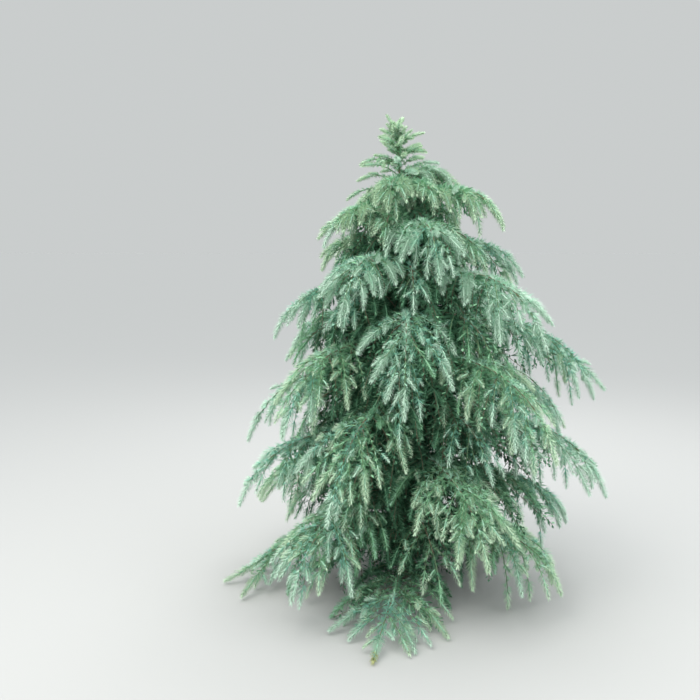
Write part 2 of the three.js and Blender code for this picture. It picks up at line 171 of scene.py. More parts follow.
# %% [markdown]
# ## Chance that stays put
# A tree needs chance, but the same tree has to grow on every run, and one shoot more or less mustn't shift
# its neighbours. So a chance isn't drawn from a stream: it is worked out from three keys, the number of the
# bough, the number of the shoot and what the chance is for. The odd numbers in the sum mean nothing. They
# only scatter the keys along a sine, so wide that what is left after its decimal point looks like chance.

# %% Work out chances
SEED = 11


def chance(bough, shoot, use):
    """Between 0 and 1, and always the same for the same keys."""
    mixed = math.sin(bough * 12.9898 + shoot * 78.233 + use * 37.719 + SEED) * 43758.5453
    return mixed - math.floor(mixed)


def uneven(most, *keys):
    """As much as so far up or down."""
    return most * (2 * chance(*keys) - 1)


def mix(a, b, share):
    return a + (b - a) * share


def clamp(x, low, high):
    return min(max(x, low), high)


REACH, SWING, RISE, FALL, OPEN, SHOOT_RISE, SHOOT_FALL, LENGTH, END, LEADER = range(1, 11)  # uses
print("two chances:", round(chance(0, 0, REACH), 3), round(chance(0, 1, REACH), 3))

# %% [markdown]
# ## A line that droops
# Trunks aside, everything in a weeping tree is the same line at another scale. It leaves at one slope, bends
# down to another, and may turn a little sideways on its way. A Bezier curve could draw it, but its handles
# say nothing about slopes. Adding up short steps does: each step goes where the slope at that place points.
# Headings and slopes are in degrees, and a slope below the level is negative.

# %% Describe a drooping line
SAMPLES = 24
LIFT, MOST_LIFTED = 6, 30  # degrees by which a fall is eased, and where that ends


class DroopingLine:
    def __init__(self, start, heading, rise, fall, length, swing=0.0, bend=1.0):
        self.heading, self.swing, self.rise, self.fall = heading, swing, rise, fall
        self.bend, self.length = bend, length
        steps = self.directions((np.arange(SAMPLES) + 0.5) / SAMPLES) * (length / SAMPLES)
        self.points = np.vstack([start, start + np.cumsum(steps, axis=0)])

    def heading_at(self, u):
        return self.heading + self.swing * u

    def slope_at(self, u):
        return self.rise + (self.fall - self.rise) * u**self.bend

    def directions(self, u):
        heading, slope = np.radians(self.heading_at(u)), np.radians(self.slope_at(u))
        level = np.cos(slope)
        return np.stack([level * np.cos(heading), level * np.sin(heading), np.sin(slope)], axis=-1)

    def point(self, u):
        along = clamp(u, 0, 1) * SAMPLES
        n = min(int(along), SAMPLES - 1)
        return mix(self.points[n], self.points[n + 1], along - n)


def lay_out(gap, start, heading, rise, fall, length, swing=0.0, bend=1.0):
    """A line that would come too near to the soil bends down less, and lies out along it."""
    line = DroopingLine(start, heading, rise, fall, length, swing, bend)
    while line.points[:, 2].min() < gap and line.fall < MOST_LIFTED:
        line = DroopingLine(start, heading, rise, line.fall + LIFT, length, swing, bend)
    return line


sample = DroopingLine((0, 0, 1), heading=0, rise=20, fall=-70, length=0.5)
print("half a metre of such a line ends at", np.round(sample.point(1), 2).tolist())

# %% [markdown]
# ## The trunk's line and the crown's outline
# The trunk leans a little, sways, tapers to its top and flares at the ground, where its roots begin. The
# crown is a cone, drawn in a little under its widest tier. Formulas say where the trunk's middle is, how
# thick it is and how far the crown reaches at each height, so that whatever grows later can ask them. Points
# along a path would do for the trunk, but then the thickness of a limb's foot would be one more list.

# %% Draw the trunk's line and the crown's outline
TREE_HEIGHT = 2.2
TRUNK_HEIGHT = 0.88 * TREE_HEIGHT
LEAN, SWAY = -0.035, 0.009
TRUNK_RADIUS, TOP_RADIUS = 0.027, 0.005
FLARE, FLARE_HEIGHT = 0.016, 0.07
CONE_SLOPE, CONE_TIP = 0.68, TREE_HEIGHT + 0.11
WIDEST, WIDEST_FROM = 0.8, 0.7  # the crown's largest radius, and the height where it has it


def trunk_offset(height):
    """How far the trunk's middle is from the upright, in x and in y."""
    share = height / TRUNK_HEIGHT
    return LEAN * share**2 + SWAY * np.sin(2 * np.pi * share), SWAY * np.sin(3 * np.pi * share)


def trunk_centre(height):
    return np.array([*trunk_offset(height), height])


def trunk_radius(height):
    flare = FLARE * math.exp(-height / FLARE_HEIGHT)
    return mix(TRUNK_RADIUS, TOP_RADIUS, (height / TRUNK_HEIGHT) ** 0.9) + flare


def crown_radius(height):
    cone = CONE_SLOPE * (CONE_TIP - height)
    return np.minimum(cone, WIDEST * mix(0.88, 1, np.clip(height / WIDEST_FROM, 0, 1)))


print("the trunk is", round(2000 * trunk_radius(0)), "mm thick at the ground and", end=" ")
print(round(2000 * trunk_radius(TRUNK_HEIGHT)), "mm at its top")

# %% [markdown]
# ## The boughs' lines
# The boughs leave the trunk one golden angle apart, so that no bough stands right above another for a long
# way up, which is how a conifer shares out its light. Low boughs leave nearly level and high ones climb, and
# all of them nod at their tips. Between every two boughs a lesser one grows on the far side of the trunk. It
# is the same rule with another start, and it closes the crown from all sides.

# %% Draw the boughs' lines
BOUGHS, LIMBED_BOUGHS, LIMB_SHARE = 36, 21, 0.22
GOLDEN_ANGLE = 137.508
FIRST_HEADING = -92
LESSER = 100  # the numbers of the lesser boughs start here
LESSER_SHARE = 0.74  # their length, to that of the boughs
SEAT_GAP = 0.0003
BOUGH_CLEARANCE = 0.06  # above the soil


def bough_line(bough):
    lesser = bough >= LESSER
    number = bough % LESSER
    climb = (number + (0.5 if lesser else 0)) / (BOUGHS - 1)
    height = mix(0.065 * TREE_HEIGHT, 0.98 * TRUNK_HEIGHT, climb**0.92)
    heading = FIRST_HEADING + number * GOLDEN_ANGLE + (180 if lesser else 0)
    aside = math.cos(math.radians(heading))
    upward = clamp((height - 0.5) / 0.7, 0, 1)
    sunny = 1 + mix(0.03, 0.2, upward * upward * (3 - 2 * upward)) * aside
    reach = 0.85 * crown_radius(height) * sunny * (1 + uneven(0.07, bough, 0, REACH))
    middle = math.sin(math.pi * clamp(climb, 0.05, 0.75))
    return lay_out(
        BOUGH_CLEARANCE,
        start=trunk_centre(height),
        heading=heading,
        swing=uneven(15, bough, 0, SWING),
        rise=mix(3, 46, climb**0.55) + uneven(5, bough, 0, RISE),
        fall=-26 + (-34 + 16 * abs(aside)) * middle + uneven(6, bough, 0, FALL),
        bend=1.25,
        length=1.11 * reach * (LESSER_SHARE if lesser else 1),
    )


class Stem:
    """The part of a bough that carries foliage. Low boughs have a bare limb first."""

    STEPS = 4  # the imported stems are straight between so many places

    def __init__(self, bough):
        self.bough, self.line = bough, bough_line(bough)
        self.limbed = bough % LESSER < LIMBED_BOUGHS
        self.start = LIMB_SHARE + SEAT_GAP / self.line.length if self.limbed else 0.0
        self.size = clamp(self.line.length / 0.62, 0.42, 1)

    def place(self, t):
        step = min(int(t * self.STEPS), self.STEPS - 1)
        before, after = (self.line.point(mix(self.start, 1, (step + n) / self.STEPS)) for n in (0, 1))
        return mix(before, after, t * self.STEPS - step)


stems = [Stem(bough) for bough in range(BOUGHS)]
lesser_stems = [Stem(LESSER + number) for number in range(BOUGHS - 1)]
print(len(stems), "boughs, the longest", round(max(stem.line.length for stem in stems), 2), "m, and")
print(len(lesser_stems), "lesser ones")

# %% [markdown]
# ## A bough's shoots
# A bough carries shoots to its left and its right in turn, and one at its end. They open less and less from
# the bough towards its tip, they are longest about its middle, and they droop until they hang. Mirrored
# pairs would be simpler, but they look like a ladder. Each shoot is a drooping line again, which starts with
# about the slope that the bough has there.

# %% Describe a bough's shoots
SHOOT_LENGTH = 0.345
SHOOT_SPACING = 0.084
SHOOT_CLEARANCE = 0.012  # above the soil


def side_shoot(stem, number, t, left, share=1.0):
    u = mix(stem.start, 1, t)
    open_angle = left * mix(80, 38, t) + uneven(8, stem.bough, number, OPEN)
    fullness = mix(0.62, 1, math.sin(math.pi * mix(0.18, 0.9, t)))
    length = SHOOT_LENGTH * stem.size * fullness * (1 + uneven(0.16, stem.bough, number, LENGTH))
    return lay_out(
        SHOOT_CLEARANCE,
        start=stem.place(t),
        heading=stem.line.heading_at(u) + open_angle,
        swing=-0.1 * open_angle,
        rise=stem.line.slope_at(u) + 7 + uneven(7, stem.bough, number, SHOOT_RISE),
        fall=-65 + uneven(17, stem.bough, number, SHOOT_FALL),
        bend=0.9,
        length=share * length,
    )


def end_shoot(stem, share=1.0):
    return lay_out(
        SHOOT_CLEARANCE,
        start=stem.place(0.97),
        heading=stem.line.heading_at(1),
        rise=stem.line.slope_at(1),
        fall=-72,
        length=share * 0.75 * SHOOT_LENGTH * stem.size * (1 + uneven(0.1, stem.bough, 0, END)),
    )


def shoot_places(stem):
    spacing = SHOOT_SPACING * max(stem.size, 0.6)
    count = max(4, math.floor((1 - stem.start) * stem.line.length / spacing + 0.5))
    return np.linspace(0.04 if stem.limbed else 0.2, 0.88, count)


print("the lowest bough has room for", 1 + len(shoot_places(stems[0])), "shoots")

# %% [markdown]
# ## The shoots that grew
# A shoot that had no room was tried shorter, and then left out. Working that out again would mean testing
# solids against each other. There is a shorter way: the tip of every shoot that grew is a corner of its
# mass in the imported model, so each shoot is tried at its three lengths, and kept where its tip is found.

# %% Find the shoots that grew
SHORTER_TRIES = (1, 0.8, 0.62)
FOUND_WITHIN = 0.001


def corners_of(node):
    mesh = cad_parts[node].data
    corners = np.empty(len(mesh.vertices) * 3)
    mesh.vertices.foreach_get("co", corners)
    return corners.reshape(-1, 3)


def grown(corners, tries):
    """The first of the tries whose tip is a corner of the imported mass, or None."""
    for line in tries:
        if np.linalg.norm(corners - line.points[-1], axis=1).min() < FOUND_WITHIN:
            return line
    return None


shoots = []  # (stem, line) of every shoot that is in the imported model
for stem in stems:
    corners = corners_of(f"foliage_{stem.bough + 1:02d}")
    tries = [[end_shoot(stem, share) for share in SHORTER_TRIES]]
    for number, t in enumerate(shoot_places(stem)):
        left = 1 if number % 2 else -1
        tries.append([side_shoot(stem, number, t, left, share) for share in SHORTER_TRIES])
    shoots += [(stem, line) for line in (grown(corners, some) for some in tries) if line]
print(len(shoots), "shoots grew on", len({stem.bough for stem, _ in shoots}), "boughs")

# %% [markdown]
# ## Finer shoots
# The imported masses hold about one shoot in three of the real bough's. Turned copies of those could fill the
# room between them, but copies show. So the rest grow here by the same rule, with numbers of their own: one
# across from each place, one that hangs down halfway to the next, and one more on the lowest boughs. Lesser
# boughs have a pair at each place. The ones to the sides are shorter than the shoots beside them and the
# others hang nearly straight down, so the crown's outline stays as it is.

# %% Add the finer shoots
FINER = 100  # their numbers start here, so that they share no chance with the shoots above
SKIRT_BOUGHS = 11  # the lowest, which have the light to themselves and are fuller
HANGING_ROOM = 0.3  # nearer the ground than this, nothing can hang


def hanging_shoot(stem, number, t, left):
    """One that leaves the underside of a bough and hangs nearly straight down."""
    if stem.place(t)[2] < HANGING_ROOM:
        return side_shoot(stem, number, t, left, 0.6)
    u = mix(stem.start, 1, t)
    return lay_out(
        SHOOT_CLEARANCE,
        start=stem.place(t),
        heading=stem.line.heading_at(u) + 40 * left + uneven(20, stem.bough, number, OPEN),
        rise=stem.line.slope_at(u) - 25,
        fall=-84 + uneven(6, stem.bough, number, SHOOT_FALL),
        bend=0.5,
        length=0.86 * SHOOT_LENGTH * stem.size * (1 + uneven(0.25, stem.bough, number, LENGTH)),
    )


def finer_shoots(stem):
    places = shoot_places(stem)
    step = places[1] - places[0]
    for n, t in enumerate(places):
        left = -1 if n % 2 else 1
        yield side_shoot(stem, FINER + n, t + 0.2 * step, left, 0.85)
        if n + 1 < len(places):
            yield hanging_shoot(stem, 2 * FINER + n, t + 0.55 * step, left)
        if stem.bough < SKIRT_BOUGHS:
            yield side_shoot(stem, 6 * FINER + n, t + 0.4 * step, -left, 0.75)


def lesser_shoots(stem):
    yield end_shoot(stem, 0.9)
    for n, t in enumerate(shoot_places(stem)):
        for left in (-1, 1):
            number = 3 * FINER + 2 * n + left
            if number % 3:
                yield side_shoot(stem, number, t + 0.01 * left, left, 0.82)
            else:
                yield hanging_shoot(stem, number, t, left)


finer = [(stem, line) for stem in stems for line in finer_shoots(stem)]
lesser = [(stem, line) for stem in lesser_stems for line in lesser_shoots(stem)]
print(len(finer), "finer shoots between them, and", len(lesser), "on lesser boughs")

# %% [markdown]
# ## Shoots in the shade
# Under the boughs hang short weak shoots that get little light, and between them longer ones grow from the
# trunk. They hide the trunk, as they do in a tree that has stood free since it was planted, and they make the
# depths of the crown dark, both by blocking the light and by their needles' tints, which are painted shade. A
# dark shell inside the crown would hide the trunk too, but it would show as a wall wherever a gap opens.

# %% Add the shaded shoots
TRUNK_SHOOTS = 330


def shaded_shoots(stem):
    """Pairs that hang under a bough, where its lit shoots have left them in the dark."""
    for n, u in enumerate(np.arange(0.08, 0.78, 0.11)):
        for left in (-1, 1):
            number = 4 * FINER + 2 * n + left
            yield lay_out(
                SHOOT_CLEARANCE,
                start=stem.line.point(u),
                heading=stem.line.heading_at(u) + left * 66 + uneven(20, stem.bough, number, OPEN),
                rise=stem.line.slope_at(u) - 10,
                fall=-76 + uneven(10, stem.bough, number, SHOOT_FALL),
                length=0.24 * stem.size * (1 + uneven(0.2, stem.bough, number, LENGTH)),
            )


def trunk_shoots():
    """Weak shoots between the boughs, straight from the trunk."""
    for n in range(TRUNK_SHOOTS):
        height = mix(0.09, 0.95 * TRUNK_HEIGHT, (n + 0.5) / TRUNK_SHOOTS)
        room = clamp(height / 0.6, 0.35, 1) * (1 + 0.18 * math.cos(math.radians(n * GOLDEN_ANGLE)))
        yield height, lay_out(
            SHOOT_CLEARANCE,
            start=trunk_centre(height),
            heading=n * GOLDEN_ANGLE + uneven(12, BOUGHS, 5 * FINER + n, OPEN),
            rise=12 + uneven(12, BOUGHS, 5 * FINER + n, SHOOT_RISE),
            fall=-60 + uneven(15, BOUGHS, 5 * FINER + n, SHOOT_FALL),
            length=0.72 * room * crown_radius(height) * (1 + uneven(0.25, BOUGHS, 5 * FINER + n, LENGTH)),
        )


def nearest_stem(height):
    return min(stems, key=lambda stem: abs(stem.line.points[0][2] - height))


shaded = [(stem, line) for stem in stems + lesser_stems for line in shaded_shoots(stem)]
shaded += [(nearest_stem(height), line) for height, line in trunk_shoots()]
print(len(shaded), "shoots in the shade")

# %% [markdown]
# ## Twigs in one array
# From here on there are thousands of twigs, and one Python object for each would be slow. A set of twigs is
# one array instead: a row for each twig, a column for each place along it. Asking such a set for places,
# directions and sideways directions is then one sum for all of them.

# %% Hold many twigs at once
rng = np.random.default_rng(SEED)


def unit(vectors):
    return vectors / np.maximum(np.linalg.norm(vectors, axis=-1, keepdims=True), 1e-9)


class Twigs:
    """Rows of twigs from root to tip, with the number of the bough that each grows on."""

    def __init__(self, points, bough, vigour=1.0):
        """Vigour is a twig's length, to that of a strong one."""
        self.points = np.asarray(points, float)
        self.bough = np.asarray(bough) % LESSER
        self.vigour = np.broadcast_to(vigour, self.bough.shape)
        self.lengths = np.linalg.norm(np.diff(self.points, axis=1), axis=2).sum(axis=1)

    def at(self, rows, v):
        """Places, and the directions along, to the side of and above the twigs there."""
        last = self.points.shape[1] - 1
        along = np.clip(v, 0, 1) * last
        n = np.minimum(along.astype(int), last - 1)
        here, there = self.points[rows, n], self.points[rows, n + 1]
        forward = unit(there - here)
        upright = np.abs(forward[:, 2:]) > 0.995
        side = unit(np.cross(forward, np.where(upright, [1.0, 0, 0], [0, 0, 1.0])))
        return here + (there - here) * (along - n)[:, None], forward, side, np.cross(side, forward)

    def spaced(self, first, last, spacing):
        """Rows, numbers and places of what stands along every twig, so far apart."""
        first, last = (np.broadcast_to(v, self.bough.shape) for v in (first, last))
        counts = np.maximum(1, ((last - first) * self.lengths / spacing).astype(int))
        rows = np.repeat(np.arange(len(counts)), counts)
        number = np.arange(len(rows)) - np.repeat(np.cumsum(counts) - counts, counts)
        return rows, number, mix(first[rows], last[rows], (number + 0.5) / counts[rows])


def twigs_of(lines):
    return Twigs(
        [line.points for _, line in lines],
        [stem.bough for stem, _ in lines],
        [line.length / SHOOT_LENGTH for _, line in lines],
    )


main_set, finer_set, lesser_set, shaded_set = map(twigs_of, (shoots, finer, lesser, shaded))
for name, twigs in {"main": main_set, "finer": finer_set, "lesser": lesser_set, "shaded": shaded_set}.items():
    print(f"{twigs.lengths.sum():.0f} m of {name} shoots")

# %% [markdown]
# ## The leader
# The top of the tree is this year's growth: a thin leader that nods at its tip, with young shoots round it.
# The lowest of them already droop and the highest still rise. The rule for boughs could make it, but it sets
# shoots to the left and right, where a leader's stand on all sides, so it has a rule of its own.

# %% Grow the leader
LEADER_BOUGH = BOUGHS  # the number that stands for it among the boughs
LEADER_SHOOTS, FINER_LEADER_SHOOTS = 9, 34
leader_line = DroopingLine(
    start=trunk_centre(TRUNK_HEIGHT) + np.array([0, 0, SEAT_GAP]),
    heading=180,
    rise=90,
    fall=76,
    length=TREE_HEIGHT - TRUNK_HEIGHT - 0.025,
)


def leader_shoot(n):
    climb = (n + 0.6) / LEADER_SHOOTS
    return DroopingLine(
        start=leader_line.point(mix(0.04, 0.88, climb)),
        heading=40 + n * GOLDEN_ANGLE,
        rise=mix(34, 56, climb),
        fall=mix(-48, 40, climb),
        length=mix(0.2, 0.08, climb) * (1 + uneven(0.12, BOUGHS, n, LEADER)),
    )


def finer_leader_shoot(n):
    """One in the gaps between the others, or round the trunk's last stretch."""
    climb = (n + 0.5) / FINER_LEADER_SHOOTS
    height = mix(-0.13, 0.21, climb)
    if height < 0:
        foot = trunk_centre(TRUNK_HEIGHT + height)
    else:
        foot = leader_line.point(height / leader_line.length)
    return DroopingLine(
        start=foot,
        heading=n * GOLDEN_ANGLE,
        rise=mix(26, 68, climb),
        fall=mix(-58, 54, climb),
        length=mix(0.25, 0.045, climb) * (1 + uneven(0.2, BOUGHS, FINER + n, LEADER)),
    )


leader_corners = corners_of("foliage_leader")
leader_lines = [line for line in map(leader_shoot, range(LEADER_SHOOTS)) if grown(leader_corners, [line])]
leader_lines.append(DroopingLine(leader_line.point(0.72), heading=180, rise=74, fall=58, length=0.11))
leader_lines += map(finer_leader_shoot, range(FINER_LEADER_SHOOTS))
leader_set = Twigs(
    [line.points for line in leader_lines],
    [LEADER_BOUGH] * len(leader_lines),
    [line.length / 0.2 for line in leader_lines],
)
print(len(leader_lines), "shoots round the leader")

# %% [markdown]
# ## Woody stems
# The stem of a bough is the brown wood that its shoots grow from, with rosettes all along it. It could be a
# curve with a thickness, but as a row of points it is clothed and turned into a tube together with the rest.
# A lesser bough is one row from the trunk to its tip, and a limbed bough's row starts where its limb ends.

# %% Gather the stems
STEM_COLUMNS = np.linspace(0, 1, 17)


def stem_row(stem, start):
    return [stem.line.point(mix(start, 1, share)) for share in STEM_COLUMNS]


bough_stems = Twigs([stem_row(stem, stem.start) for stem in stems], range(BOUGHS))
lesser_bough_stems = Twigs([stem_row(stem, 0) for stem in lesser_stems], range(BOUGHS - 1))
leader_stem = Twigs([[leader_line.point(share) for share in STEM_COLUMNS]], [LEADER_BOUGH])
print(f"{bough_stems.lengths.sum() + lesser_bough_stems.lengths.sum():.0f} m of woody stems")

# %% [markdown]
# ## Sprigs
# Each shoot carries sprigs to its left and right, set forward at about forty-five degrees. They are longest
# where the shoot is oldest, and a weak shoot has shorter ones than a strong shoot. Its last stretch, which is
# this year's, has none, so every shoot ends in one clean finger. The sprigs' own tips sag a little, because
# they are soft. Each could be one more drooping line, but there are thousands, so they are bent all at once:
# a straight way out, and with every column a little more of the way down.

# %% Grow sprigs along the shoots
SPRIG_COLUMNS = 6
SPRIGS_FROM, SPRIGS_TO = 0.08, 0.60  # shares of the shoot
SPRIG_CLEARANCE = 0.014  # above the soil


def sprigs_on(twigs, spacing, reach):
    rows, number, v = twigs.spaced(SPRIGS_FROM, SPRIGS_TO, spacing)
    place, forward, side, above = twigs.at(rows, v)
    left = np.where(number % 2 == 0, 1.0, -1.0)
    count = len(rows)
    lean = np.radians(rng.normal(46, 7, count))
    tilt = np.radians(rng.normal(4, 13, count))
    outward = side * (left * np.cos(tilt))[:, None] + above * np.sin(tilt)[:, None]
    start_way = forward * np.cos(lean)[:, None] + outward * np.sin(lean)[:, None]
    vigour = np.clip(twigs.vigour[rows], 0.45, 1) ** 0.7
    length = reach * vigour * mix(1.15, 0.6, v) * rng.uniform(0.65, 1.15, count)
    hang = np.stack([np.zeros(count), np.zeros(count), -rng.uniform(0.3, 1.1, count)], axis=1)
    end_way = unit(start_way + hang)
    t = np.linspace(0, 1, SPRIG_COLUMNS)[None, :, None]
    ways = start_way[:, None, :] * t + (end_way - start_way)[:, None, :] * (t**2 / 2)
    points = place[:, None, :] + length[:, None, None] * ways
    points[:, :, 2] = np.maximum(points[:, :, 2], SPRIG_CLEARANCE)
    return Twigs(points, twigs.bough[rows], length / reach)


main_sprigs = sprigs_on(main_set, spacing=0.042, reach=0.098)
finer_sprigs = sprigs_on(finer_set, spacing=0.064, reach=0.092)
lesser_sprigs = sprigs_on(lesser_set, spacing=0.066, reach=0.090)
leader_sprigs = sprigs_on(leader_set, spacing=0.045, reach=0.06)
for sprigs in (main_sprigs, finer_sprigs, lesser_sprigs, leader_sprigs):
    print(len(sprigs.bough), f"sprigs, {sprigs.lengths.sum():.0f} m")

# %% [markdown]
# ## Tints
# Light comes from outside, so a cedar is pale outside and dark inside. Far out its needles have a green or a
# blue cast, and more of them are mint the higher they stand. Nearer the trunk and behind other shoots they
# are deeper green, and deepest in the crown dark and dull: these tints are partly the inner needles' own
# darker colour and partly painted shade. A colour that has such a place is dealt out twig by twig, by how far
# out in the crown the twig stands. Painting the crown with one gradient would miss that a bough keeps its own
# cast.

# %% Choose each twig's tint
YOUNG, FRESH, MINT, GLAUCOUS, GREEN, DEEP, SHADE, STRAW = range(8)
BOUGH_SAYS = 0.65  # how much of a twig's cast is its bough's
TOP_IN_LIGHT = 0.25  # metres of the trunk's top that have no shade
cast = rng.random(BOUGHS + 1)  # boughs differ: some look bluer and some greener


def outness(places):
    """0 at the trunk and 1 at the crown's outline."""
    x, y = trunk_offset(places[:, 2])
    return np.hypot(places[:, 0] - x, places[:, 1] - y) / np.maximum(crown_radius(places[:, 2]), 0.12)


def tints_at(places, bough, draw, behind=0.0):
    """By place; painted shade makes what stands behind others as dark as what stands so much farther in."""
    out = outness(places) - behind + rng.normal(0, 0.05, len(draw))
    draw = (1 - BOUGH_SAYS) * draw + BOUGH_SAYS * cast[bough]
    height = places[:, 2] / TRUNK_HEIGHT
    green, blue = draw < mix(0.44, 0.24, height), draw < mix(0.84, 0.48, height)
    outer = np.select([green, blue], [GREEN, GLAUCOUS], MINT)
    # Deeper in, the tints are darker: partly the inner needles' own colour and partly painted shade.
    middle = np.select([draw < 0.35, draw < mix(0.64, 0.5, height)], [GREEN, DEEP], GLAUCOUS)
    in_light = places[:, 2] > TRUNK_HEIGHT - TOP_IN_LIGHT
    top = np.where(draw < 0.75, GREEN, MINT)
    in_shade = out < mix(0.50, 0.32, height)
    between = out < mix(0.71, 0.48, height)
    return np.select([in_light, in_shade, between], [top, SHADE, middle], outer)


def tints_of(twigs, behind=0.0):
    middles = twigs.points[:, twigs.points.shape[1] // 2]
    return tints_at(middles, twigs.bough, rng.random(len(twigs.bough)), behind)


print("main shoots of each tint:", np.bincount(tints_of(main_set), minlength=8).tolist())

# %% [markdown]
# ## Needles
# A cedar's needle is stiff, thin and four-sided, about thirty-five millimetres long, and it stands on its
# twig along a spiral. Old ones stand out at sixty degrees. Towards a growing tip they are shorter, crowded
# and paler, which makes the blunt club that every shoot ends in. Four sides can't be told at this size, so a
# needle is a kite of two faces folded along its middle: the fold catches light as the real edges do. It is
# three to four millimetres wide where a real one is one, because there are fewer of them.

# %% Clothe twigs with needles
ONE_LIGHTER = np.array([YOUNG, FRESH, YOUNG, YOUNG, FRESH, GREEN, DEEP, STRAW])  # for each tint in its order
# Painted light: what faces upward, and the clubs' cores, take the paler tint that full light would give.
PAINTED_LIGHT_TINT = np.array([YOUNG, FRESH, YOUNG, MINT, MINT, GREEN, DEEP, STRAW])  # what each tint is in full light
STRAW_SHARE = 0.006
OLDEST = 0.04  # the share of a twig that has lost its needles
BLUNT = 0.010  # metres before the tip from where needles close up round it

needle_parts = []  # root, direction, which way its fold faces, length, width, tint, bough


def pale_straw(twigs):
    """A few tips far out have dried to the colour of straw."""
    tips = twigs.points[:, -1]
    return (outness(tips) > 0.75) & (rng.random(len(tips)) < STRAW_SHARE)


def clothe(twigs, spacing, tints, long, short=0.016, club=0.07, pale=0.085, first=OLDEST, width=0.0037):
    """Single needles, shorter over the length of the club and lighter over the pale length."""
    rows, number, v = twigs.spaced(first, 1.0, spacing)
    place, forward, side, above = twigs.at(rows, v)
    count = len(rows)
    turn = np.radians(number * GOLDEN_ANGLE + rng.uniform(-25, 25, count) + 60 * (rows % 6))
    outward = side * np.cos(turn)[:, None] + above * np.sin(turn)[:, None]
    to_tip = (1 - v) * twigs.lengths[rows]
    young = np.clip(1 - to_tip / club, 0, 1)
    young = young * young * (3 - 2 * young)
    lean = np.radians(mix(60, 50, young) + rng.normal(0, 7, count)) * np.clip(to_tip / BLUNT, 0.4, 1)
    direction = forward * np.cos(lean)[:, None] + outward * np.sin(lean)[:, None]
    length = mix(long, short, young) * rng.uniform(0.8, 1.15, count)
    own = tints[rows]
    own = np.where(rng.random(count) < 1.7 * (1 - to_tip / pale), ONE_LIGHTER[own], own)
    # painted light: most needles that face upward are one tint paler
    own = np.where((outward[:, 2] > 0.35) & (rng.random(count) < 0.7), PAINTED_LIGHT_TINT[own], own)
    own = np.where(pale_straw(twigs)[rows] & (to_tip < rng.uniform(0.015, 0.06, count)), STRAW, own)
    needle_parts.append(
        (place + 0.0012 * outward, direction, outward, length, np.full(count, width), own, twigs.bough[rows])
    )
    return count


print("about one tip in", round(1 / STRAW_SHARE), "has dried")

# %% [markdown]
# ## Rosettes
# On older wood a cedar's needles don't stand singly. They grow in rosettes on short spurs, like small stars,
# which make a shoot look knobbly behind its club and keep the stems of the boughs from being bare. One star
# could be made and placed thousands of times, but then all would be alike. Here each is a fan of needles of
# its own, dealt out round the direction of its spur.

# %% Set rosettes on twigs
SPUR = 0.003  # metres from a twig's middle to its rosettes


def rosettes_on(twigs, spacing, needles, tints, long, first, last, lean=0, opening=(15, 85), width=0.0030):
    """Without tints, each rosette gets the tint of its own place."""
    rows, number, v = twigs.spaced(first, last, spacing)
    place, forward, side, above = twigs.at(rows, v)
    turn = np.radians(number * GOLDEN_ANGLE + 60 * (rows % 6))
    outward = side * np.cos(turn)[:, None] + above * np.sin(turn)[:, None]
    spur = outward * math.cos(math.radians(lean)) + forward * math.sin(math.radians(lean))
    if tints is None:
        own = tints_at(place, twigs.bough[rows], rng.random(len(twigs.bough))[rows])
    else:
        own = tints[rows]
    # painted light: a rosette that faces upward is likely to be one tint paler
    own = np.where(outward[:, 2] > rng.uniform(0.1, 1.3, len(rows)), PAINTED_LIGHT_TINT[own], own)
    place, forward, spur = (np.repeat(x, needles, axis=0) for x in (place, forward, spur))
    own, rows = np.repeat(own, needles), np.repeat(rows, needles)
    count = len(rows)
    open_angle = np.radians(rng.uniform(*opening, count))
    turn = rng.uniform(0, 2 * np.pi, count)
    across = unit(np.cross(spur, forward))
    around = unit(np.cross(across, spur)) * np.cos(turn)[:, None] + across * np.sin(turn)[:, None]
    direction = spur * np.cos(open_angle)[:, None] + around * np.sin(open_angle)[:, None]
    length = long * rng.uniform(0.75, 1.15, count)
    needle_parts.append(
        (place + SPUR * spur, direction, forward, length, np.full(count, width), own, twigs.bough[rows])
    )
    return count


def clothe_stem(twigs, spacing, needles):
    return rosettes_on(twigs, spacing, needles, None, long=0.027, first=0.02, last=0.97)


print("a rosette keeps", 1000 * SPUR, "mm off its twig's middle")

# %% [markdown]
# ## A shoot's whole dress
# A well-lit shoot wears rosettes on its old part and ends in a club of single needles. Inside the club they
# are too crowded to be told apart, and a slim core stands for them. A shoot in the shade has only long, wide
# needles, each of which stands for a small tuft that nobody sees up close. All could be dressed alike, but
# that takes more than twice the needles, so what stands behind others is dressed more sparsely. Spacings and
# lengths are in metres.

# %% Dress all twigs
CLUB_PLACES = (0.06, 0.35, 0.7, 0.95)  # of its core's rings, from its foot to its tip
NO_PALE_END = 0.001

club_parts = []  # the clubs' cores, and their tints


def clothe_well(twigs, spacing, long, club=0.07, behind=0.0, **rest):
    tints = tints_of(twigs, behind)
    rows = np.arange(len(tints))
    from_v = 1 - np.minimum(club / twigs.lengths, 0.85)
    middle = [twigs.at(rows, mix(from_v, 1, share))[0] for share in CLUB_PLACES]
    # painted light: the cores are one tint paler than their shoot
    club_parts.append((Twigs(np.stack(middle, axis=1), twigs.bough), PAINTED_LIGHT_TINT[tints]))
    in_rosettes = rosettes_on(
        twigs, 6 * spacing, 7, tints, 0.9 * long, OLDEST, from_v, lean=42, opening=(3, 50), width=0.0034
    )
    return in_rosettes + clothe(twigs, 0.42 * spacing, tints, long, club=club, first=from_v, **rest)


def clothe_in_shade(twigs):
    # painted shade: the needles of shoots in the shade keep only the two darkest tints
    tints = np.clip(tints_of(twigs), DEEP, SHADE)
    return clothe(twigs, 0.0074, tints, long=0.047, pale=NO_PALE_END, width=0.0125)


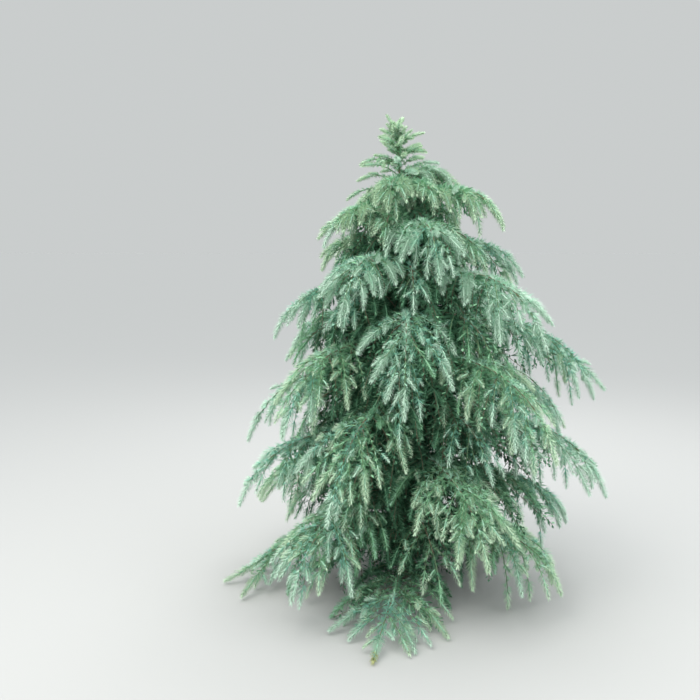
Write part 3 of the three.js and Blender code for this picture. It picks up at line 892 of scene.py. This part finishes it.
MAIN = {"club": 0.13, "pale": 0.19, "short": 0.022}
# behind: how much darker these are painted, as painted shade from the shoots in front of them
FINER_ONES = {"club": 0.09, "pale": 0.10, "short": 0.020, "behind": 0.12}
LESSER_ONES = {"club": 0.09, "pale": 0.09, "short": 0.020, "behind": 0.18}
MAIN_SPRIGS = {"club": 0.05, "pale": 0.09, "short": 0.015}
FINER_SPRIGS = {"club": 0.045, "pale": 0.04, "short": 0.015, "behind": 0.12}
LESSER_SPRIGS = {"club": 0.045, "pale": 0.035, "short": 0.015, "behind": 0.18}
counts = {
    "main": clothe_well(main_set, 0.0015, 0.036, **MAIN),
    "finer": clothe_well(finer_set, 0.0026, 0.034, **FINER_ONES),
    "lesser": clothe_well(lesser_set, 0.0030, 0.034, **LESSER_ONES),
    "shaded": clothe_in_shade(shaded_set),
    "leader": clothe_well(leader_set, 0.0012, 0.019, short=0.014),
    "main sprigs": clothe_well(main_sprigs, 0.0020, 0.024, **MAIN_SPRIGS),
    "finer sprigs": clothe_well(finer_sprigs, 0.0031, 0.023, **FINER_SPRIGS),
    "lesser sprigs": clothe_well(lesser_sprigs, 0.0035, 0.023, **LESSER_SPRIGS),
    "leader sprigs": clothe_well(leader_sprigs, 0.0012, 0.016, club=0.04, short=0.012),
    "leader stem": clothe_well(leader_stem, 0.0006, 0.026),
    "bough stems": clothe_stem(bough_stems, 0.010, 11),
    "lesser stems": clothe_stem(lesser_bough_stems, 0.018, 10),
}
print(sum(counts.values()), "needles:", counts)

# %% [markdown]
# ## Node groups
# Bark and needles both use an effect in more than one material. Such an effect is a node group: a small
# machine with named inputs and outputs, built once and placed wherever it is needed. These helpers make a
# group, and the few kinds of node that go into it. Copying the nodes into each material would look the same,
# but a later change would have to be made in every one.

# %% Write helpers for node groups


def new_group(name, inputs, outputs):
    group = bpy.data.node_groups.new(name, "ShaderNodeTree")
    for label, kind, value in inputs:
        group.interface.new_socket(label, in_out="INPUT", socket_type=kind).default_value = value
    for label, kind in outputs:
        group.interface.new_socket(label, in_out="OUTPUT", socket_type=kind)
    return group, group.nodes.new("NodeGroupInput").outputs, group.nodes.new("NodeGroupOutput").inputs


def noise_in(group, vector, scale, detail):
    texture = group.nodes.new("ShaderNodeTexNoise")
    texture.inputs["Scale"].default_value = scale
    texture.inputs["Detail"].default_value = detail
    group.links.new(vector, texture.inputs["Vector"])
    return texture.outputs["Fac"]


def ranged(group, value, low, high, to_low=0.0, to_high=1.0):
    node = group.nodes.new("ShaderNodeMapRange")
    for label, number in (("From Min", low), ("From Max", high), ("To Min", to_low), ("To Max", to_high)):
        node.inputs[label].default_value = number
    group.links.new(value, node.inputs["Value"])
    return node.outputs["Result"]


def mixed_colour(group, share, first, second):
    node = group.nodes.new("ShaderNodeMix")
    node.data_type = "RGBA"
    group.links.new(share, node.inputs["Factor"])
    group.links.new(first, node.inputs["A"])
    group.links.new(second, node.inputs["B"])
    return node.outputs["Result"]


print("node groups before any is made:", len(bpy.data.node_groups))

# %% [markdown]
# ## What bark is made of
# Bark is grey ridges with dark cracks between them, and both run along the wood. One node group works out
# where the cracks are, and gives their colour, roughness and height. Trunk, limbs and stems use it with
# their own colours and their own scale, because cracks open wider as wood thickens. An image could do the
# same, but it would have to be stretched round every branch, and noise in space needs no unwrapping.

# %% Make the bark's node group
bark_group, bark_in, bark_out = new_group(
    "bark_surface",
    [
        ("Cracks per Metre", "NodeSocketVector", (90, 90, 24)),
        ("Ridge Colour", "NodeSocketColor", (0.2, 0.16, 0.13, 1)),
        ("Crack Colour", "NodeSocketColor", (0.05, 0.035, 0.025, 1)),
        ("Weathered Colour", "NodeSocketColor", (0.26, 0.25, 0.22, 1)),
    ],
    [("Colour", "NodeSocketColor"), ("Roughness", "NodeSocketFloat"), ("Height", "NodeSocketFloat")],
)
in_wood = bark_group.nodes.new("ShaderNodeVectorMath")
in_wood.operation = "MULTIPLY"
bark_group.links.new(bark_group.nodes.new("ShaderNodeTexCoord").outputs["Object"], in_wood.inputs[0])
bark_group.links.new(bark_in["Cracks per Metre"], in_wood.inputs[1])
spot = in_wood.outputs["Vector"]
ridges = ranged(bark_group, noise_in(bark_group, spot, 1.0, 4), 0.38, 0.62)
grain = noise_in(bark_group, spot, 5.0, 3)
weathered = ranged(bark_group, noise_in(bark_group, spot, 0.22, 2), 0.45, 0.65)
ridge_colour = mixed_colour(bark_group, weathered, bark_in["Ridge Colour"], bark_in["Weathered Colour"])
bark_colour = mixed_colour(bark_group, ridges, bark_in["Crack Colour"], ridge_colour)
bark_group.links.new(bark_colour, bark_out["Colour"])
bark_group.links.new(ranged(bark_group, grain, 0.3, 0.7, 0.74, 0.95), bark_out["Roughness"])
relief = bark_group.nodes.new("ShaderNodeMath")
relief.operation = "MULTIPLY_ADD"
relief.inputs[1].default_value = 0.3  # how high the grain stands, to the ridges
bark_group.links.new(grain, relief.inputs[0])
bark_group.links.new(ridges, relief.inputs[2])
bark_group.links.new(relief.outputs["Value"], bark_out["Height"])
print("bark takes", [label for label in bark_in.keys() if label])
print("bark gives", [socket.name for socket in bark_out if socket.name])

# %% [markdown]
# ## Bark from young to old
# The same group makes three barks. Old bark is grey-brown, with cracks about a centimetre apart. The limbs'
# bark is smoother, with finer cracks, and the stems are warm brown, with only the small scars of fallen
# needles. Three materials built one by one could look the same, but with the group each is a handful of
# values. The height goes through a Bump node, for what is too fine to be in the mesh.

# %% Make the barks
TRUNK_CRACKS = 110  # in a metre round the trunk


def place_group(material, group):
    node = material.node_tree.nodes.new("ShaderNodeGroup")
    node.node_tree = group
    return node


def bumped(material, shader, height, millimetres):
    bump = material.node_tree.nodes.new("ShaderNodeBump")
    bump.inputs["Distance"].default_value = millimetres / 1000
    material.node_tree.links.new(height, bump.inputs["Height"])
    material.node_tree.links.new(bump.outputs["Normal"], shader.inputs["Normal"])


def new_bark(name, per_metre, ridge, crack, weathered, millimetres):
    material, shader = new_material(name, ridge, 0.85)
    surface = place_group(material, bark_group)
    surface.inputs["Cracks per Metre"].default_value = per_metre
    surface.inputs["Ridge Colour"].default_value = (*ridge, 1)
    surface.inputs["Crack Colour"].default_value = (*crack, 1)
    surface.inputs["Weathered Colour"].default_value = (*weathered, 1)
    material.node_tree.links.new(surface.outputs["Colour"], shader.inputs["Base Color"])
    material.node_tree.links.new(surface.outputs["Roughness"], shader.inputs["Roughness"])
    bumped(material, shader, surface.outputs["Height"], millimetres)
    return material


old_bark = new_bark(
    "old_bark",
    per_metre=(TRUNK_CRACKS, TRUNK_CRACKS, 30),
    ridge=(0.17, 0.13, 0.10),
    crack=(0.035, 0.025, 0.02),
    weathered=(0.25, 0.24, 0.21),
    millimetres=1.0,
)
limb_bark = new_bark(
    "limb_bark",
    per_metre=(170, 170, 170),
    ridge=(0.19, 0.14, 0.10),
    crack=(0.05, 0.035, 0.025),
    weathered=(0.24, 0.21, 0.17),
    millimetres=0.5,
)
stem_bark = new_bark(
    "stem_bark",
    per_metre=(320, 320, 320),
    ridge=(0.24, 0.20, 0.13),
    crack=(0.09, 0.07, 0.045),
    weathered=(0.29, 0.28, 0.19),
    millimetres=0.3,
)
print("barks:", old_bark.name, limb_bark.name, stem_bark.name)

# %% [markdown]
# ## The needles' colours
# A needle is smooth, with faint lines of pores along it and a thin bloom of wax, which takes the shine away.
# Each tint is a plain colour of its own, since a colour that changed along so small a needle could hardly be
# seen. What is shared is the grain: one group, placed in every tint, that roughens the surface under a Bump
# node. The skin of young twigs has it too, with coarser grains.

# %% Make the needles and the young twigs' skin
NEEDLE_GRAINS, SKIN_GRAINS = 900, 400  # per metre
GRAIN_HEIGHT = 0.06  # millimetres
WAX_SHINE = 0.15

grain_group, grain_in, grain_out = new_group(
    "needle_grain",
    [("Grain per Metre", "NodeSocketFloat", NEEDLE_GRAINS)],
    [("Height", "NodeSocketFloat")],
)
pores = grain_group.nodes.new("ShaderNodeTexNoise")
pores.inputs["Detail"].default_value = 2
grain_group.links.new(grain_group.nodes.new("ShaderNodeTexCoord").outputs["Object"], pores.inputs["Vector"])
grain_group.links.new(grain_in["Grain per Metre"], pores.inputs["Scale"])
grain_group.links.new(ranged(grain_group, pores.outputs["Fac"], 0.3, 0.7), grain_out["Height"])


def new_skin(name, colour, roughness, grain_per_metre):
    material, shader = new_material(name, colour, roughness)
    shader.inputs["Specular IOR Level"].default_value = WAX_SHINE
    surface = place_group(material, grain_group)
    surface.inputs["Grain per Metre"].default_value = grain_per_metre
    bumped(material, shader, surface.outputs["Height"], GRAIN_HEIGHT)
    return material


# DEEP and SHADE are partly the inner needles' own darker green and partly painted shade.
TINTS = {
    YOUNG: ("young_needles", (0.53, 0.705, 0.575)),
    FRESH: ("fresh_needles", (0.53, 0.69, 0.50)),
    MINT: ("mint_needles", (0.36, 0.60, 0.45)),
    GLAUCOUS: ("glaucous_needles", (0.23, 0.50, 0.38)),
    GREEN: ("green_needles", (0.265, 0.51, 0.305)),
    DEEP: ("deep_needles", (0.125, 0.290, 0.172)),
    SHADE: ("shade_needles", (0.044, 0.124, 0.068)),
    STRAW: ("straw_needles", (0.50, 0.53, 0.24)),
}
needle_materials = {
    tint: new_skin(name, colour, 0.62, NEEDLE_GRAINS) for tint, (name, colour) in TINTS.items()
}
young_skin = new_skin("young_twig_skin", (0.15, 0.24, 0.13), 0.7, SKIN_GRAINS)
print(len(needle_materials), "tints of needles and one skin for young twigs")

# %% [markdown]
# ## Needles as kites
# A needle's kite has a foot, a tip and a corner on each side where it is widest. The two side corners are
# lifted, so that it is folded from its foot to its tip. That is two faces. A three-sided tube would have
# eight, and from a step away nobody could tell. First all the needles that were dealt out are gathered, into
# one array for each of their properties.

# %% Shape needles as kites
WIDEST_AT = 0.4  # from its foot, of its length
FOLD = 0.3  # how far its side corners are lifted, of its width

root, direction, outward, length, width, tints, bough_of = map(np.concatenate, zip(*needle_parts))


def kites(chosen):
    """Four corners and two faces for each of the chosen needles."""
    start, way, out = root[chosen], direction[chosen], outward[chosen]
    across = unit(np.cross(way, out)) * (0.5 * width[chosen])[:, None]
    middle = start + way * (WIDEST_AT * length[chosen])[:, None] + out * (FOLD * width[chosen])[:, None]
    tip = start + way * length[chosen][:, None]
    corners = np.stack([start, middle + across, tip, middle - across], axis=1).reshape(-1, 3)
    base = 4 * np.arange(len(start))[:, None]
    faces = np.stack([base + [0, 1, 2], base + [0, 2, 3]], axis=1).reshape(-1, 3)
    return corners, faces


print("three needles have", len(kites(np.arange(3))[1]), "faces")

# %% [markdown]
# ## Twigs as tubes
# A twig is a thin tube with three or four sides, which at four millimetres is as round as anyone can see. A
# stem has eight sides, and a limb fourteen, with the relief of its bark added to its radius. A curve with a
# bevel makes a tube too, but one at a time, and thousands of curves are slow.

# %% Shape twigs as tubes


def tube_faces(rings, sides):
    """The faces between rings of corners, and the two ends."""
    faces = []
    for ring in range(rings - 1):
        for n in range(sides):
            a, b = ring * sides + n, ring * sides + (n + 1) % sides
            faces += [(a, b, b + sides), (a, b + sides, a + sides)]
    top = (rings - 1) * sides
    faces += [(0, n + 1, n) for n in range(1, sides - 1)]
    faces += [(top, top + n, top + n + 1) for n in range(1, sides - 1)]
    return np.array(faces)


def tubes(twigs, radii, sides, relief=None):
    """A closed tube along each row. The radii are one for each ring, the same or other ones for each row."""
    count = len(twigs.points)
    rings = np.shape(radii)[-1]
    radii = np.broadcast_to(radii, (count, rings))
    corners = np.empty((count, rings, sides, 3))
    for ring, share in enumerate(np.linspace(0, 1, rings)):
        place, forward, side, above = twigs.at(np.arange(count), np.full(count, share))
        for n in range(sides):
            turn = 2 * math.pi * n / sides
            radius = radii[:, ring]
            if relief:
                radius = radius + relief(radius, turn, share * twigs.lengths)
            outward = math.cos(turn) * side + math.sin(turn) * above
            corners[:, ring, n] = place + radius[:, None] * outward
    base = (np.arange(count) * rings * sides)[:, None, None]
    return corners.reshape(-1, 3), (tube_faces(rings, sides)[None] + base).reshape(-1, 3)


print("a three-sided tube of two rings has", len(tube_faces(2, 3)), "faces")

# %% [markdown]
# ## From arrays to pieces
# Blender's mesh takes whole arrays with foreach_set, which is what makes hundreds of thousands of needles
# possible in seconds. Every piece is made by the same few lines, which also say that it rides on the tree's
# one body, and hide the solids of the imported model that it stands in for.

# %% Make a piece from arrays
LOWEST = 0.003  # nothing lies deeper, or it would sink into the soil


def joined(meshes):
    """Several meshes as one, clear of the soil."""
    starts = np.cumsum([0] + [len(corners) for corners, _ in meshes])
    corners = np.concatenate([corners for corners, _ in meshes])
    corners[:, 2] = np.maximum(corners[:, 2], LOWEST)
    return corners, np.concatenate([faces + start for (_, faces), start in zip(meshes, starts)])


def mesh_piece(name, corners, triangles, material, replaced, slot):
    mesh = bpy.data.meshes.new(name)
    mesh.vertices.add(len(corners))
    mesh.vertices.foreach_set("co", np.ascontiguousarray(corners, np.float32).ravel())
    mesh.loops.add(3 * len(triangles))
    mesh.loops.foreach_set("vertex_index", np.ascontiguousarray(triangles, np.int32).ravel())
    mesh.polygons.add(len(triangles))
    mesh.polygons.foreach_set("loop_start", np.arange(0, 3 * len(triangles), 3, dtype=np.int32))
    mesh.update(calc_edges=True)
    mesh.materials.append(material)
    piece = add_object(name, mesh)
    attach(piece, "root")
    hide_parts(*replaced)
    return len(triangles)


print("a mesh of three needles has", len(joined([kites(np.arange(3))])[0]), "corners")

# %% [markdown]
# ## Pieces of needles
# All needles of one tint in one storey of the crown make one piece. One mesh with eight materials would hold
# them too, but this way a tint can be changed by itself, and no piece grows too large for other programs. The
# slim cores of the clubs go with them, each in the tint that its shoot has in full light: painted light.

# %% Join the needles into pieces
STOREYS = {"lower": range(0, 12), "middle": range(12, 24), "upper": range(24, BOUGHS + 1)}
MOST_NEEDLES = 80000  # in one piece
CLUB_CORE = (0.0018, 0.0047, 0.0038, 0.0009)  # the radii of its rings


def only(twigs, chosen):
    return Twigs(twigs.points[chosen], twigs.bough[chosen])


def of_storey(bough, storey):
    return np.isin(bough, list(STOREYS[storey]))


def masses_of(storey):
    return [f"foliage_{b + 1:02d}" if b < BOUGHS else "foliage_leader" for b in STOREYS[storey]]


def club_cores(storey, tint):
    return [
        tubes(only(twigs, of_storey(twigs.bough, storey) & (own == tint)), CLUB_CORE, 3)
        for twigs, own in club_parts
    ]


faces_made = {}
for storey in STOREYS:
    for tint, (name, _) in TINTS.items():
        chosen = np.flatnonzero(of_storey(bough_of, storey) & (tints == tint))
        lots = np.array_split(chosen, max(1, math.ceil(len(chosen) / MOST_NEEDLES)))
        for n, lot in enumerate(lots if len(chosen) else []):
            corners, faces = joined([kites(lot)] + (club_cores(storey, tint) if n == 0 else []))
            piece = f"{name}_{storey}_{n + 1}"
            faces_made[piece] = mesh_piece(
                piece, corners, faces, needle_materials[tint], masses_of(storey), "needles"
            )
print(len(faces_made), "pieces of needles,", sum(faces_made.values()), "faces")
print("the largest piece has", max(faces_made.values()), "faces")

# %% [markdown]
# ## Twigs and stems
# The young twigs of one storey are one piece, and so are its woody stems. A stem's thickness at its foot is a
# share of the trunk's there. It swells a little where it leaves the wood that bears it, and tapers to less
# than four millimetres. A real one tapers in steps, at each shoot that it gives off, and its radii could do
# so too, but under needles a smooth taper looks the same.

# %% Join the twigs and the stems into pieces
FOOT_SHARE = 0.36  # of the trunk's radius at that height
STEM_TIP = 0.0018
STEM_RINGS = 17


def taper(foot, tip, rings):
    return [mix(foot, tip, share) for share in np.linspace(0, 1, rings)]


def foot_radii(some):
    """The radius of each bough at its foot, as a column."""
    return np.array([FOOT_SHARE * trunk_radius(stem.line.points[0][2]) for stem in some])[:, None]


def stem_radii(some, left):
    """One row of radii for each stem, from what is left of its bough's radius, with a collar at its foot."""
    share, foot = np.linspace(0, 1, STEM_RINGS)[None], foot_radii(some)
    return mix(left * foot, STEM_TIP, share**0.8) + 0.2 * foot * np.exp(-16 * share)


def tubes_of(table, storey):
    """The tubes of every set in the table that grow in this storey."""
    meshes = []
    for twigs, radii, sides in table:
        chosen = of_storey(twigs.bough, storey)
        own_radii = np.broadcast_to(radii, (len(chosen), np.shape(radii)[-1]))[chosen]
        meshes.append(tubes(only(twigs, chosen), own_radii, sides))
    return meshes


WOODY = [  # twigs, the radii of their rings, and how many sides
    (bough_stems, stem_radii(stems, 0.65), 8),
    (lesser_bough_stems, stem_radii(lesser_stems, 0.8), 8),
    (leader_stem, taper(0.005, STEM_TIP, STEM_RINGS), 8),
    (shaded_set, taper(0.0022, 0.0014, 4), 3),
]
YOUNG_ONES = [
    (main_set, taper(0.0024, 0.0016, 7), 4),
    (finer_set, taper(0.0022, 0.0016, 6), 3),
    (lesser_set, taper(0.0022, 0.0016, 6), 3),
    (leader_set, taper(0.0022, 0.0016, 7), 4),
]
for sprigs in (main_sprigs, finer_sprigs, lesser_sprigs, leader_sprigs):
    YOUNG_ONES.append((sprigs, taper(0.0018, 0.0014, 2), 3))
for storey in STOREYS:
    for name, table, material in (("woody_stems", WOODY, stem_bark), ("young_twigs", YOUNG_ONES, young_skin)):
        piece = f"{name}_{storey}"
        meshes = tubes_of(table, storey)
        faces_made[piece] = mesh_piece(piece, *joined(meshes), material, masses_of(storey), "bark")
        print(piece, faces_made[piece], "faces")

# %% [markdown]
# ## Relief on trunk and limbs
# Bark is thick enough here to show in the outline, so cracks and bulges are in the mesh and only the grain
# is bump. A displace modifier could push out a plain tube, but then cracks would have no direction. Noise
# that is read as if the wood were straight, and drawn out along it, gives cracks that follow every bend.

# %% Work out the relief
CRACK_WIDTH = 0.24  # where the noise is nearer to nothing than this, the bark is cracked
DRAWN_OUT = 0.22  # a crack's width, to its length
TRUNK_RELIEF, LIMB_RELIEF = 0.0012, 0.0005  # how deep the cracks are, in metres
LIMB_CRACKS = 190  # in a metre


def bark_relief(radius, turn, along, depth, cracks_per_metre):
    """How far the bark stands out at a place on the wood, in metres."""
    around = Vector((math.cos(turn) * radius, math.sin(turn) * radius, DRAWN_OUT * along)) * cracks_per_metre
    crack = max(0.0, 1 - abs(noise.noise(around)) / CRACK_WIDTH)
    bulge = noise.noise(around * 0.2 + Vector((7, 3, 1)))
    return depth * (0.6 * bulge - crack)


def limb_relief(radius, turn, along):
    return np.array([bark_relief(r, turn, far, LIMB_RELIEF, LIMB_CRACKS) for r, far in zip(radius, along)])


four = [bark_relief(0.03, turn, 0.5, TRUNK_RELIEF, TRUNK_CRACKS) for turn in range(4)]
print("relief at four places, in millimetres:", np.round(np.multiply(four, 1000), 2).tolist())

# %% [markdown]
# ## The trunk
# The trunk is one skin from the flat cut at the ground to the leader's foot. A tube along its line would do
# for most of it, but not for the foot that roots spread from. So its rings lie level, closer together at the
# flare, where five root backs lift it, and it swells just under every bough. It is closed at both ends, as
# the real one would be if it were sawn off.

# %% Grow the trunk's skin
TRUNK_RINGS, TRUNK_SIDES = 270, 48
ROOT_BACKS, BACK_LIFT = 5, 0.16
SWELLING = 0.0022
THIN_WOOD = 0.015  # wood with a smaller radius has a shallower relief
CLOSER_BELOW = 1.15  # over 1, so that rings stand closer together at the foot


def swelling(height, turn):
    """What the trunk adds where boughs leave it."""
    total = 0.0
    for foot_height, heading, size in bough_feet:
        up = (height - foot_height + 0.3 * size) / size
        if abs(up) < 2.5:
            aside = math.sin((turn - heading) / 2) * 2 * trunk_radius(height) / size
            ahead = math.cos(turn - heading) > 0
            total += SWELLING * math.exp(-up * up - aside * aside) * ahead
    return min(total, 1.5 * SWELLING)


bough_feet = []
for stem in stems + lesser_stems:
    foot_height = stem.line.points[0][2]
    bough_feet.append((foot_height, math.radians(stem.line.heading), 0.6 * trunk_radius(foot_height)))
skin = np.empty((TRUNK_RINGS, TRUNK_SIDES, 3))
for ring in range(TRUNK_RINGS):
    height = TRUNK_HEIGHT * (ring / (TRUNK_RINGS - 1)) ** CLOSER_BELOW
    centre, flare = trunk_centre(height), math.exp(-height / FLARE_HEIGHT)
    for n in range(TRUNK_SIDES):
        turn = 2 * math.pi * n / TRUNK_SIDES
        radius = trunk_radius(height) * (1 + BACK_LIFT * math.cos(ROOT_BACKS * turn) * flare)
        depth = TRUNK_RELIEF * min(1, radius / THIN_WOOD)
        radius += bark_relief(radius, turn, height, depth, TRUNK_CRACKS) + swelling(height, turn)
        skin[ring, n] = centre + np.array([radius * math.cos(turn), radius * math.sin(turn), 0])
faces_made["trunk_bark"] = mesh_piece(
    "trunk_bark", skin.reshape(-1, 3), tube_faces(TRUNK_RINGS, TRUNK_SIDES), old_bark, ["trunk"], "bark"
)
print("trunk_bark", faces_made["trunk_bark"], "faces")

# %% [markdown]
# ## The limbs
# The first stretch of each lower bough is bare, and smoother than the trunk. It starts inside the trunk and
# swells there into a collar. It could start on the trunk's skin, which would save a few hidden faces, but a
# gap might open at the joint. The limbs of a storey are one piece.

# %% Grow the limbs' skins
LIMB_RINGS, LIMB_SIDES = 40, 14


def limb_radii(some):
    share = np.linspace(0, 1, LIMB_RINGS)[None]
    return foot_radii(some) * (mix(1, 0.6, share) + 0.35 * np.exp(-12 * share))


for storey, boughs_here in STOREYS.items():
    limbed = [stem for stem in stems if stem.limbed and stem.bough in boughs_here]
    if limbed:
        rows = [[stem.line.point(LIMB_SHARE * share) for share in np.linspace(0, 1, 9)] for stem in limbed]
        limbs = Twigs(rows, [stem.bough for stem in limbed])
        piece = f"limb_bark_{storey}"
        replaced = [f"bough_{stem.bough + 1:02d}" for stem in limbed]
        meshes = [tubes(limbs, limb_radii(limbed), LIMB_SIDES, limb_relief)]
        faces_made[piece] = mesh_piece(piece, *joined(meshes), limb_bark, replaced, "bark")
        print(piece, faces_made[piece], "faces")
print("faces in all:", sum(faces_made.values()), "in", len(faces_made), "pieces")
